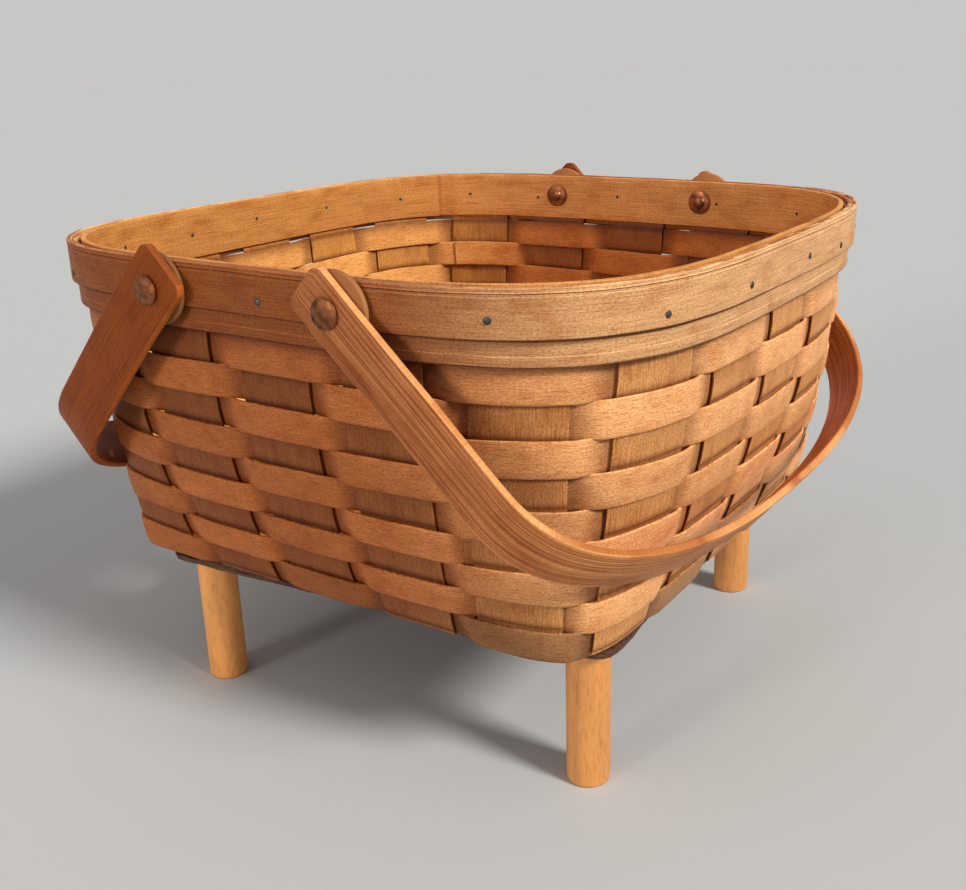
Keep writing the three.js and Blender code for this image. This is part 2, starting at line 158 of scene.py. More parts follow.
class SquareOutline:
    """Rounded square seen from above, with unlike corners.

    Places are shares of its length: a quarter leads from the middle of one side to the middle
    of the next, starting on the -Y side towards +X.
    """

    def __init__(self, width, squareness, turn=0.0, middle=(0.0, 0.0)):
        per_quarter = 720
        raw = np.linspace(0, 4, 4 * per_quarter + 1)
        corner = (np.floor(np.minimum(raw, 3.999)).astype(int) + 1) % 4
        power = np.array(squareness)[corner]
        angle = (raw - 1) * tau / 4
        cosine, sine = np.cos(angle), np.sin(angle)
        reach = width / 2 * (abs(cosine) ** power + abs(sine) ** power) ** (-1 / power)
        x, y = reach * cosine, reach * sine
        self.points = np.column_stack([
            x * math.cos(turn) - y * math.sin(turn) + middle[0],
            x * math.sin(turn) + y * math.cos(turn) + middle[1],
        ])
        steps = np.linalg.norm(np.diff(self.points, axis=0), axis=1).reshape(4, per_quarter)
        within = np.cumsum(steps, axis=1) / steps.sum(axis=1)[:, None] / 4
        self.shares = np.concatenate([[0], (within + np.arange(4)[:, None] / 4).ravel()])
        self.length = steps.sum()
        tangent = np.gradient(self.points, axis=0)
        tangent[0] = tangent[-1] = self.points[1] - self.points[-2]
        self.outward = unit_rows(np.column_stack([tangent[:, 1], -tangent[:, 0]]))

    def sample(self, share, offset=0.0):
        """Points and outward directions, pushed out by offset."""
        around = np.asarray(share) % 1.0
        point, outward = [
            np.stack([np.interp(around, self.shares, table[:, i]) for i in (0, 1)], axis=-1)
            for table in (self.points, self.outward)
        ]
        return point + outward * np.asarray(offset)[..., None], outward


floor_outline = SquareOutline(
    floor_width, floor_squareness, turn=math.radians(0.7), middle=(-1.6 * mm, 2.9 * mm))
wall_outline = SquareOutline(304.4 * mm, rim_squareness)
rim_outline = SquareOutline(307.6 * mm, rim_squareness)


def loop_length(rise):
    return floor_outline.length + (wall_outline.length - floor_outline.length) * rise


def wall_point(share, rise, offset):
    """Point of the wall, which swells out. Rise goes from 0 at the floor to 1 under the rim."""
    low, _ = floor_outline.sample(share, offset)
    high, _ = wall_outline.sample(share, offset)
    rise = np.asarray(rise)[..., None]
    flat = low + (high - low) * (1 - (1 - rise) ** wall_swell)
    height = wall_base + wall_height * rise
    return np.concatenate([flat, np.broadcast_to(height, flat.shape[:-1] + (1,))], axis=-1)


def wall_normal(share, rise):
    """Outward direction of the wall."""
    rise_step, share_step = 0.01, 0.0005
    none = 0 * share
    slope = wall_point(share, rise + rise_step, none) - wall_point(share, rise - rise_step, none)
    ahead = wall_point(share + share_step, rise, none) - wall_point(share - share_step, rise, none)
    return unit_rows(np.cross(ahead, slope))


# The weave's rule

def strip_middle(family, index, rise):
    """Where a strip's middle lies on its side, as a share of the loop from the side's middle."""
    low = places_at_floor[family, index]
    return (low + (places_at_rim[index] - low) * rise) / 4


def upright_middles(rise):
    """Middles of the twenty uprights as shares of the loop, in their order round the wall."""
    middles = []
    for side in range(4):
        way = 1 if side < 2 else -1
        for index in range(strips_per_side)[::way]:
            middles.append(side / 4 + way * strip_middle(side % 2, index, rise))
    return np.stack(np.broadcast_arrays(*middles), axis=-1)


def weave_wave(share, rise, row):
    """1 where a row passes outside an upright, -1 where it passes inside, smooth in between."""
    half = strip_width / 2 / loop_length(rise)
    middles = upright_middles(rise)
    around = (np.asarray(share) - middles[..., 0]) % 1.0 + middles[..., 0]
    before = (around[..., None] >= middles).sum(axis=-1) - 1
    ringed = np.concatenate([middles, middles[..., :1] + 1], axis=-1)
    start, end = [
        np.take_along_axis(ringed, before[..., None] + step, axis=-1)[..., 0] for step in (0, 1)
    ]
    beyond = np.clip((around - start - half) / (end - start - 2 * half), 0, 1)
    return np.where((row + before) % 2 == 0, 1.0, -1.0) * np.cos(beyond * math.pi)


# How far the real rows hang below level ones, in millimetres: at the foot at each eighth of the
# loop, most in the middle of the +X side, and halfway up
foot_sag = [1.1, 2.6, 4.4, 2.6, 1.1, 1.1, 1.1, 1.1, 1.1]
belly_sag = 1.0


def row_sag(share, rise):
    foot = np.interp(np.asarray(share) % 1.0, np.arange(9) / 8, foot_sag)
    return (foot * (1 - rise) + 4 * belly_sag * rise * (1 - rise)) * mm


# Node trees for the strips and the fasteners

def geometry_tree(name, inputs, result):
    """A new tree with named inputs and one output. Gives the tree and the inputs' sockets."""
    tree = bpy.data.node_groups.new(name, "GeometryNodeTree")
    for label, kind in inputs.items():
        tree.interface.new_socket(label, in_out="INPUT", socket_type=f"NodeSocket{kind}")
    tree.interface.new_socket(result, in_out="OUTPUT", socket_type="NodeSocketGeometry")
    return tree, node(tree, "NodeGroupInput")


def splint_tree():
    """A flat strip with rounded edges swept along a path, whose points say how its face looks."""
    dents_per_metre = 38.0
    noise_middle = (0.5, 0.5, 0.5)
    tree, given = geometry_tree("bent_splint", {
        "Path": "Geometry", "Width": "Float", "Thickness": "Float", "Edge radius": "Float",
        "Cup": "Float", "Unevenness": "Float", "Grain shift": "Float", "Facets across": "Int",
        "Material": "Material",
    }, "Splint")
    facing, sideways, along, across, narrow, across_share = [
        node(tree, "GeometryNodeInputNamedAttribute", {"Name": name}, data_type=kind)["Attribute"]
        for name, kind in (
            ("facing", "FLOAT_VECTOR"), ("sideways", "FLOAT_VECTOR"), ("along", "FLOAT"),
            ("across", "FLOAT"), ("narrow", "FLOAT"), ("across_share", "FLOAT"),
        )
    ]
    path = node(tree, "GeometryNodeMeshToCurve", {"Mesh": given["Path"]})["Curve"]
    path = node(tree, "GeometryNodeSetCurveNormal", {"Curve": path, "Normal": facing},
                mode="FREE")["Curve"]

    # The strip's cross-section, which bows by the cup towards its edges
    outline = node(tree, "GeometryNodeCurvePrimitiveQuadrilateral",
                   {"Width": given["Thickness"], "Height": given["Width"]})["Curve"]
    outline = node(tree, "GeometryNodeFilletCurve",
                   {"Curve": outline, "Count": 2, "Radius": given["Edge radius"],
                    "Limit Radius": True}, mode="POLY")["Curve"]
    outline = node(tree, "GeometryNodeSubdivideCurve",
                   {"Curve": outline, "Cuts": given["Facets across"]})["Curve"]
    place = node(tree, "ShaderNodeSeparateXYZ", {0: node(tree, "GeometryNodeInputPosition")[0]})
    half = node(tree, "ShaderNodeMath", {0: given["Width"], 1: 0.5}, operation="MULTIPLY")[0]
    share = node(tree, "ShaderNodeMath", {0: place["Y"], 1: half}, operation="DIVIDE")[0]
    for name, value in (("across", place["Y"]), ("across_share", share)):
        outline = node(tree, "GeometryNodeStoreNamedAttribute",
                       {"Geometry": outline, "Name": name, "Value": value})["Geometry"]
    squared = node(tree, "ShaderNodeMath", {0: share, 1: share}, operation="MULTIPLY")[0]
    bow = node(tree, "ShaderNodeMath", {0: squared, 1: given["Cup"]}, operation="MULTIPLY")[0]
    bow = node(tree, "ShaderNodeCombineXYZ", {"X": bow})[0]
    outline = node(tree, "GeometryNodeSetPosition", {"Geometry": outline, "Offset": bow})[0]

    splint = node(tree, "GeometryNodeCurveToMesh",
                  {"Curve": path, "Profile Curve": outline, "Fill Caps": True})["Mesh"]
    shifted = node(tree, "ShaderNodeMath", {0: across, 1: given["Grain shift"]})[0]
    grain = node(tree, "ShaderNodeCombineXYZ", {"X": along, "Y": shifted})[0]
    splint = node(tree, "GeometryNodeStoreNamedAttribute",
                  {"Geometry": splint, "Name": "UVMap", "Value": grain},
                  data_type="FLOAT2", domain="CORNER")["Geometry"]

    # The tails narrow, and the whole strip is a little uneven
    inwards = node(tree, "ShaderNodeMath", {0: across_share, 1: narrow}, operation="MULTIPLY")[0]
    inwards = node(tree, "ShaderNodeVectorMath", {0: sideways, "Scale": inwards},
                   operation="SCALE")[0]
    splint = node(tree, "GeometryNodeSetPosition", {"Geometry": splint, "Offset": inwards})[0]
    noise = node(tree, "ShaderNodeTexNoise", {"Scale": dents_per_metre, "Detail": 2.0})["Color"]
    shove = node(tree, "ShaderNodeVectorMath", {0: noise, 1: noise_middle}, operation="SUBTRACT")[0]
    shove = node(tree, "ShaderNodeVectorMath", {0: shove, "Scale": given["Unevenness"]},
                 operation="SCALE")[0]
    splint = node(tree, "GeometryNodeSetPosition", {"Geometry": splint, "Offset": shove})[0]
    splint = node(tree, "GeometryNodeRealizeInstances", {0: splint})[0]
    splint = node(tree, "GeometryNodeSetMaterial",
                  {"Geometry": splint, "Material": given["Material"]})["Geometry"]
    node(tree, "NodeGroupOutput", {0: splint})
    return tree


def fastener_tree():
    """One shape set on each point, turned the way that the point looks."""
    tree, given = geometry_tree(
        "set_on_points", {"Points": "Geometry", "Shape": "Object", "Material": "Material"}, "Set")
    facing, spin = [
        node(tree, "GeometryNodeInputNamedAttribute", {"Name": name}, data_type=kind)["Attribute"]
        for name, kind in (("facing", "FLOAT_VECTOR"), ("spin", "FLOAT"))
    ]
    turn = node(tree, "FunctionNodeAlignRotationToVector", {"Vector": facing}, axis="Z")[0]
    about = node(tree, "FunctionNodeAxisAngleToRotation", {"Axis": (0, 0, 1), "Angle": spin})[0]
    turn = node(tree, "FunctionNodeRotateRotation", {"Rotation": turn, "Rotate By": about},
                rotation_space="LOCAL")[0]
    shape = node(tree, "GeometryNodeObjectInfo", {"Object": given["Shape"]},
                 transform_space="ORIGINAL")["Geometry"]
    placed = node(tree, "GeometryNodeInstanceOnPoints",
                  {"Points": given["Points"], "Instance": shape, "Rotation": turn})["Instances"]
    placed = node(tree, "GeometryNodeRealizeInstances", {0: placed})[0]
    placed = node(tree, "GeometryNodeSetMaterial",
                  {"Geometry": placed, "Material": given["Material"]})["Geometry"]
    node(tree, "NodeGroupOutput", {0: placed})
    return tree


bent_splint = splint_tree()
set_on_points = fastener_tree()


def use_tree(piece, tree, **values):
    """Gives a piece a node tree with its named inputs set."""
    modifier = piece.modifiers.new(tree.name, "NODES")
    modifier.node_group = tree
    named = {s.name: s.identifier for s in tree.interface.items_tree if s.in_out == "INPUT"}
    for name, value in values.items():
        modifier[named[name.replace("_", " ")]] = value


def path_mesh(name, points, facing, narrow=None, sideways=None, dip=None):
    """A chain of edges whose points carry the way along it and the way that its face looks.

    Narrow says how much each side of the strip is cut in at each point, sideways which way its
    width lies, and dip where it passes under another strip.
    """
    mesh = bpy.data.meshes.new(name)
    mesh.from_pydata(points.tolist(), [(i, i + 1) for i in range(len(points) - 1)], [])
    tangent = unit_rows(np.gradient(points, axis=0))
    facing = unit_rows(facing - tangent * (facing * tangent).sum(axis=1)[:, None])
    steps = np.linalg.norm(np.diff(points, axis=0), axis=1)
    attribute(mesh, "facing", facing, "FLOAT_VECTOR")
    attribute(mesh, "along", np.concatenate([[0], np.cumsum(steps)]))
    if dip is not None:
        attribute(mesh, "dip", dip)
    if narrow is not None:
        attribute(mesh, "narrow", narrow)
        attribute(mesh, "sideways", sideways, "FLOAT_VECTOR")
    return mesh


def dress(piece, tone, woven=False):
    """Gives a piece's points their own brightness and says where they look.

    The shade share is 0 on the +X side, which the key lamp lights, and 1 away from it, where the
    browner colour is painted shade; inner is 1 where a face looks into the basket. On a woven
    piece the side of the basket counts, and not the tilt of the strip.
    """
    fully_lit, inner_from = 0.9, 0.1
    mesh = piece.data
    count = len(mesh.vertices)
    normal, place = read_vertices(mesh, "normal"), read_vertices(mesh, "co")
    outwards = (normal[:, :2] * place[:, :2]).sum(axis=1)
    way = normal[:, :2]
    if woven:
        way = place[:, :2] * abs(place[:, :2]) * np.sign(outwards)[:, None]
        way /= np.maximum(np.linalg.norm(way, axis=1), 1e-9)[:, None]
    lit = np.clip(way[:, 0] / fully_lit, 0, 1)
    if "crease" not in mesh.attributes:
        attribute(mesh, "crease", np.zeros(count))
    attribute(mesh, "tone", np.broadcast_to(tone, count))
    attribute(mesh, "stained", 1 - lit * lit * (3 - 2 * lit))
    attribute(mesh, "inner", np.clip(-outwards / inner_from, 0, 1))


# Materials

def new_material(name):
    """A new material, its tree and the socket that takes its shader."""
    material = bpy.data.materials.new(name)
    material.use_nodes = True
    tree = material.node_tree
    tree.nodes.clear()
    return material, tree, tree.nodes.new("ShaderNodeOutputMaterial").inputs["Surface"]


def veneer(name, face, stained, streak=(7, 0.4), streak_from=(0.46, 0.62), streak_depth=0.55,
           mark_depth=0.9, edge_light=0.35, edge_from=0.93, low_edge=0.0, lines_along=(),
           inner_tint=(1.07, 1.04, 0.76)):
    """Stained and waxed hardwood strip with its grain along U.

    Face is the colour on the +X side, which the key lamp lights, and the browner colour on the
    other sides is painted shade. Streak is the length and width of a grain line in millimetres.
    Cut edges are a little paler, the lower edge and creases darker with painted shade. A line
    along the strip has its share of the width, its half width and its tint.
    """
    cloud, mark = (19, 12), (1.1, 0.6)
    line_fade, line_depth = 1.8, 0.9
    deep_shade = (0.3, 0.2, 0.15)
    material, tree, surface = new_material(name)
    uv = node(tree, "ShaderNodeUVMap", uv_map="UVMap")["UV"]
    patterns = []
    for (length, width), detail in ((streak, 3.0), (cloud, 3.0), (mark, 2.0)):
        scale = (1 / (length * mm), 1 / (width * mm), 1)
        scaled = node(tree, "ShaderNodeMapping", {"Vector": uv, "Scale": scale})["Vector"]
        patterns.append(node(tree, "ShaderNodeTexNoise", {
            "Vector": scaled, "Scale": 1.0, "Detail": detail, "Roughness": 0.6})["Fac"])
    grain, clouds, marks = patterns
    away, inner, tone, across, dip, crease = [
        node(tree, "ShaderNodeAttribute", attribute_name=label)["Fac"]
        for label in ("stained", "inner", "tone", "across_share", "dip", "crease")
    ]
    beside = node(tree, "ShaderNodeMath", {0: across}, operation="ABSOLUTE")[0]
    rise = node(tree, "ShaderNodeMath", {0: dip, 1: -1.0}, operation="MULTIPLY")[0]
    sunk = node(tree, "ShaderNodeMapRange", {"Value": inner, "To Min": dip, "To Max": rise})[0]

    # Each layer: a value, where on it the layer starts and ends, its depth at both, its tint
    layers = [
        # The inside is more amber
        (inner, 0.0, 1.0, 0.0, 1.0, inner_tint),
        # Dark and pale grain lines
        (grain, *streak_from, 0.0, streak_depth, (0.62, 0.47, 0.36)),
        (grain, 0.4, 0.27, 0.0, 0.7, (1.3, 1.36, 1.45)),
        # Short dark pores
        (marks, 0.44, 0.64, 0.0, mark_depth, (0.68, 0.55, 0.45)),
        # Broad clouds of stain, and places where it is worn
        (clouds, 0.5, 0.68, 0.0, 0.6, (0.74, 0.56, 0.42)),
        (clouds, 0.45, 0.3, 0.0, 0.6, (1.2, 1.25, 1.3)),
        # Pale cut edges, and the shade at the lower one
        (beside, edge_from, 1.0, 0.0, edge_light, (1.6, 1.75, 1.9)),
        (across, 0.88, 0.99, 0.0, low_edge, (0.36, 0.24, 0.17)),
        # Painted shade where the strip dips under another one, and in creases
        (sunk, -0.5, 0.9, 0.0, 0.65, deep_shade),
        (crease, 0.0, 1.0, 0.0, 0.9, deep_shade),
    ]
    for place, half_width, tint in lines_along:
        off = node(tree, "ShaderNodeMath", {0: across, 1: place}, operation="SUBTRACT")[0]
        off = node(tree, "ShaderNodeMath", {0: off}, operation="ABSOLUTE")[0]
        layers.append((off, half_width, line_fade * half_width, line_depth, 0.0, tint))
    # Painted shade: the browner colour is mixed in on the sides away from +X
    colour = node(tree, "ShaderNodeMix", {0: away, 6: linear(face), 7: linear(stained)},
                  data_type="RGBA")[2]
    for value, start, end, first, last, tint in layers:
        share = node(tree, "ShaderNodeMapRange", {
            "Value": value, "From Min": start, "From Max": end, "To Min": first, "To Max": last})[0]
        tinted = node(tree, "ShaderNodeVectorMath", {0: colour, 1: tint}, operation="MULTIPLY")[0]
        colour = node(tree, "ShaderNodeMix", {0: share, 6: colour, 7: tinted}, data_type="RGBA")[2]
    colour = node(tree, "ShaderNodeVectorMath", {0: colour, "Scale": tone}, operation="SCALE")[0]
    gloss = node(tree, "ShaderNodeMapRange", {"Value": marks, "To Min": 0.4, "To Max": 0.62})[0]
    relief = node(tree, "ShaderNodeMath", {0: grain, 1: marks})[0]
    bump = node(tree, "ShaderNodeBump",
                {"Strength": 0.7, "Distance": 0.15 * mm, "Height": relief})["Normal"]
    shader = node(tree, "ShaderNodeBsdfPrincipled", {
        "Base Color": colour, "Roughness": gloss, "Normal": bump, "Specular IOR Level": 0.15})[0]
    tree.links.new(shader, surface)
    return material


# Maple splints, stained and waxed: orange tan on the lit side, painted shade in red brown on the
# others
weaver_wood = veneer("stained_maple_weaver", "#fbba7b", "#c4733a", streak_depth=0.65,
                     low_edge=0.75)
upright_wood = veneer("stained_maple_upright", "#fab771", "#ae6631", streak=(12, 0.5),
                      streak_depth=0.65)
# Rim bands of the same maple, with fine pale scratches, a dark joint line near the outer band's
# top, and painted shadow along the lower edge of each band and under the outer band's edge
joint_shadow, pale_scratch = (0.2, 0.12, 0.08), (1.5, 1.6, 1.75)
band_grain = (24, 0.6)
band_wood = veneer(
    "stained_maple_band", "#fdc68a", "#b0652e", streak=band_grain, edge_light=0.8, edge_from=0.95,
    lines_along=((-0.83, 0.02, pale_scratch), (-0.66, 0.014, pale_scratch),
                 (-0.78, 0.014, joint_shadow), (0.985, 0.02, joint_shadow)))
lower_band_wood = veneer(
    "stained_maple_lower_band", "#fdc68a", "#b0652e", streak=band_grain, edge_light=0.6,
    edge_from=0.96, lines_along=((0.275, 0.045, joint_shadow), (0.7, 0.012, pale_scratch),
                                 (0.985, 0.02, joint_shadow)))
# Inner band of paler maple, amber from its wax
inner_band_wood = veneer("amber_maple_band", "#f4ac5c", "#fcae62", streak=band_grain,
                         inner_tint=(1, 1, 1))
# Round spacers cut from maple: plain, with no pale edge
spacer_wood = veneer("maple_spacer", "#c98e56", "#b87a48", edge_light=0.0, inner_tint=(1, 1, 1))
# Left handle of bent cherry: close-grained and red brown
left_handle_wood = veneer("bent_cherry_handle", "#b4642a", "#a4500c", streak=(40, 0.5),
                          streak_depth=0.8, mark_depth=0.5, edge_light=0.5,
                          inner_tint=(0.85, 0.8, 0.75))
# Right handle of bent oak: long dark open pores and a pale cut edge
right_handle_wood = veneer("bent_oak_handle", "#de9a5c", "#d68850", streak=(90, 0.8),
                           streak_from=(0.46, 0.56), streak_depth=1.0, mark_depth=0.5,
                           edge_light=0.9, inner_tint=(1.15, 1.15, 1.05))


def dowel_wood():
    """Turned birch: golden, with fine short flecks along it and broad duller patches."""
    material, tree, surface = new_material("turned_birch_dowel")
    place = node(tree, "ShaderNodeTexCoord")["Object"]
    patterns = []
    for width, length, detail in ((0.9, 6, 2.0), (5, 60, 1.0)):
        scale = (1 / (width * mm), 1 / (width * mm), 1 / (length * mm))
        scaled = node(tree, "ShaderNodeMapping", {"Vector": place, "Scale": scale})["Vector"]
        patterns.append(node(tree, "ShaderNodeTexNoise",
                             {"Vector": scaled, "Scale": 1.0, "Detail": detail})["Fac"])
    flecks, patches = patterns
    share = node(tree, "ShaderNodeMapRange",
                 {"Value": flecks, "From Min": 0.5, "From Max": 0.72, "To Max": 0.55})[0]
    colour = node(tree, "ShaderNodeMix", {0: share, 6: linear("#e69c52"), 7: linear("#bc6c2c")},
                  data_type="RGBA")[2]
    bright = node(tree, "ShaderNodeMapRange", {
        "Value": patches, "From Min": 0.3, "From Max": 0.7, "To Min": 0.88, "To Max": 1.08})[0]
    tone = node(tree, "ShaderNodeAttribute", attribute_name="tone")["Fac"]
    bright = node(tree, "ShaderNodeMath", {0: bright, 1: tone}, operation="MULTIPLY")[0]
    colour = node(tree, "ShaderNodeVectorMath", {0: colour, "Scale": bright}, operation="SCALE")[0]
    bump = node(tree, "ShaderNodeBump",
                {"Strength": 0.2, "Distance": 0.1 * mm, "Height": flecks})["Normal"]
    shader = node(tree, "ShaderNodeBsdfPrincipled",
                  {"Base Color": colour, "Roughness": 0.42, "Normal": bump})[0]
    tree.links.new(shader, surface)
    return material


def board_wood():
    """Rough-sawn plywood: dark brown layers with torn fibres."""
    grain_length, grain_width, layer = 45 * mm, 3 * mm, 0.7 * mm
    material, tree, surface = new_material("dark_plywood_board")
    place = node(tree, "ShaderNodeTexCoord")["Object"]
    scaled = node(tree, "ShaderNodeMapping", {
        "Vector": place, "Scale": (1 / grain_length, 1 / grain_width, 1 / layer)})["Vector"]
    fibres = node(tree, "ShaderNodeTexNoise",
                  {"Vector": scaled, "Scale": 1.0, "Detail": 4.0, "Roughness": 0.7})["Fac"]
    share = node(tree, "ShaderNodeMapRange",
                 {"Value": fibres, "From Min": 0.35, "From Max": 0.65})[0]
    colour = node(tree, "ShaderNodeMix", {0: share, 6: linear("#321c10"), 7: linear("#6e452a")},
                  data_type="RGBA")[2]
    bump = node(tree, "ShaderNodeBump",
                {"Strength": 0.6, "Distance": 0.4 * mm, "Height": fibres})["Normal"]
    shader = node(tree, "ShaderNodeBsdfPrincipled",
                  {"Base Color": colour, "Roughness": 0.8, "Normal": bump})[0]
    tree.links.new(shader, surface)
    return material


def aged_metal(name, bright, dark, roughness, spot_size):
    """Metal with a soft uneven patina, duller where it is darker."""
    material, tree, surface = new_material(name)
    place = node(tree, "ShaderNodeTexCoord")["Object"]
    spots = node(tree, "ShaderNodeTexNoise",
                 {"Vector": place, "Scale": 1 / spot_size, "Detail": 3.0})["Fac"]
    share = node(tree, "ShaderNodeMapRange", {"Value": spots, "From Min": 0.3, "From Max": 0.75})[0]
    colour = node(tree, "ShaderNodeMix", {0: share, 6: linear(bright), 7: linear(dark)},
                  data_type="RGBA")[2]
    gloss = node(tree, "ShaderNodeMapRange",
                 {"Value": share, "To Min": roughness, "To Max": roughness + 0.25})[0]
    bump = node(tree, "ShaderNodeBump",
                {"Strength": 0.3, "Distance": 0.1 * mm, "Height": spots})["Normal"]
    shader = node(tree, "ShaderNodeBsdfPrincipled",
                  {"Base Color": colour, "Metallic": 0.85, "Roughness": gloss, "Normal": bump})[0]
    tree.links.new(shader, surface)
    return material


leg_wood = dowel_wood()
plywood = board_wood()
# Copper-plated rivets: shiny red brown under a dark patina
antique_copper = aged_metal("antique_copper", "#a0603a", "#3c2012", 0.34, 3 * mm)
# Steel tacks and screws: dull grey, with darker spots
dull_steel = aged_metal("dull_steel", "#625e5a", "#2e2a27", 0.4, 1.5 * mm)


# Woven body

weaver_steps = 480
weaver_lap = 0.03
weave_depth = 1.45 * mm
tuck_depth = 1.25 * mm
# Waves of a row's edges: their height, their number round the basket and their shift by row
row_waves = ((0.35 * mm, 5, 1.7), (0.25 * mm, 13, 2.9))
# The lowest row is darker towards the near corner: places along X, and brightness
dark_places = [-120 * mm, -40 * mm, 90 * mm, 130 * mm]
dark_tones = [0.93, 0.78, 0.4, 0.46]


def weaver(row):
    """One row of the weave: a splint that starts behind an upright and laps over its own start."""
    level = 1 - (row + 0.5) / row_count
    inside = upright_middles(level)[(row + 1) % 2 :: 2]
    travelled = np.linspace(0, 1 + weaver_lap, weaver_steps)
    share = inside[(3 * row + 4) % len(inside)] - weaver_lap / 2 + travelled
    rise = np.full_like(share, level)
    wobble = sum(height * np.sin(tau * number * share + row * shift)
                 for height, number, shift in row_waves)
    if row == 0:
        # The top row lies straighter, and closer to the band above it
        wobble = 0.1 * wobble + 0.2 * mm
    wave = weave_wave(share, rise, row)
    rise = rise + (wobble - row_sag(share, rise)) / wall_height
    tuck = np.clip((travelled - 1) / (weaver_lap / 2), 0, 1)
    points = wall_point(share, rise, weave_depth * wave - tuck_depth * tuck)
    path = path_mesh(f"weaver_{row + 1}", points, wall_normal(share, rise), dip=-wave)
    piece = new_object(f"weaver_splint_{row + 1}", path)
    use_tree(piece, bent_splint, Width=row_pitch + 1.2 * mm, Thickness=splint_thickness,
             Edge_radius=0.3 * mm, Cup=-0.35 * mm, Unevenness=0.7 * mm,
             Grain_shift=0.137 * (row + 1), Facets_across=3, Material=weaver_wood)
    settle(piece)
    place = read_vertices(piece.data, "co")
    tone = draw.uniform(0.92, 1.1)
    # The first row gets painted shade towards its top, where the band above shadows it
    if row == 0:
        shade_from, shade_reach = 191.4 * mm, 3.6 * mm
        shade = 0.95 * np.clip((place[:, 2] - shade_from) / shade_reach, 0, 1)
        attribute(piece.data, "crease", shade)
    if row == row_count - 1:
        tone = tone * np.interp(place[:, 0], dark_places, dark_tones)
    dress(piece, tone, woven=True)
    hand_over(piece, "basket", "weaver_splint", f"weaver_{row + 1}")


for row in range(row_count):
    weaver(row)


def crossing_places(family):
    """Where the strips of one family cross the other, from the floor's middle."""
    flat = SquareOutline(floor_width, floor_squareness)
    return flat.sample(places_at_floor[family] / 4)[0][:, 0]


